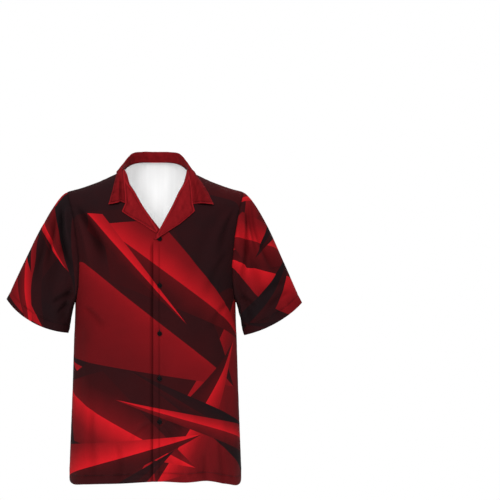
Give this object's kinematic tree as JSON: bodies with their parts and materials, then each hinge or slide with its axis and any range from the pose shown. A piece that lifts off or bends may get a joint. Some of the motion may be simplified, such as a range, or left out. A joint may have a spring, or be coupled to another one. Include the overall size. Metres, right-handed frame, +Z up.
{
  "type": "bowling shirt",
  "caption": "Short-sleeved, loose bowling shirt with an open camp collar and a buttoned front, filled out as worn and hollow.",
  "frame": {"origin": "middle of the neck at the height of the shoulder's high point, where the wearer's neck and shoulders carry the shirt", "axes": "+X towards the wearer's left, the front faces -Y, +Z up; lengths in metres"},
  "size_m": [0.716, 0.2557, 0.8073],
  "materials": {
    "cloth_print": "matt printed polyester, white on its back",
    "cloth_plain": "matt dyed polyester",
    "button": "polished black"
  },
  "bodies": {
    "root": {"front_left": "cloth_print", "front_right": "cloth_print", "back": "cloth_print", "sleeve_left": "cloth_print", "sleeve_right": "cloth_print", "lapel_left": "cloth_plain", "lapel_right": "cloth_plain", "collar": "cloth_plain", "button_1": "button", "button_2": "button", "button_3": "button", "button_4": "button", "button_5": "button"}
  },
  "joints": []
}
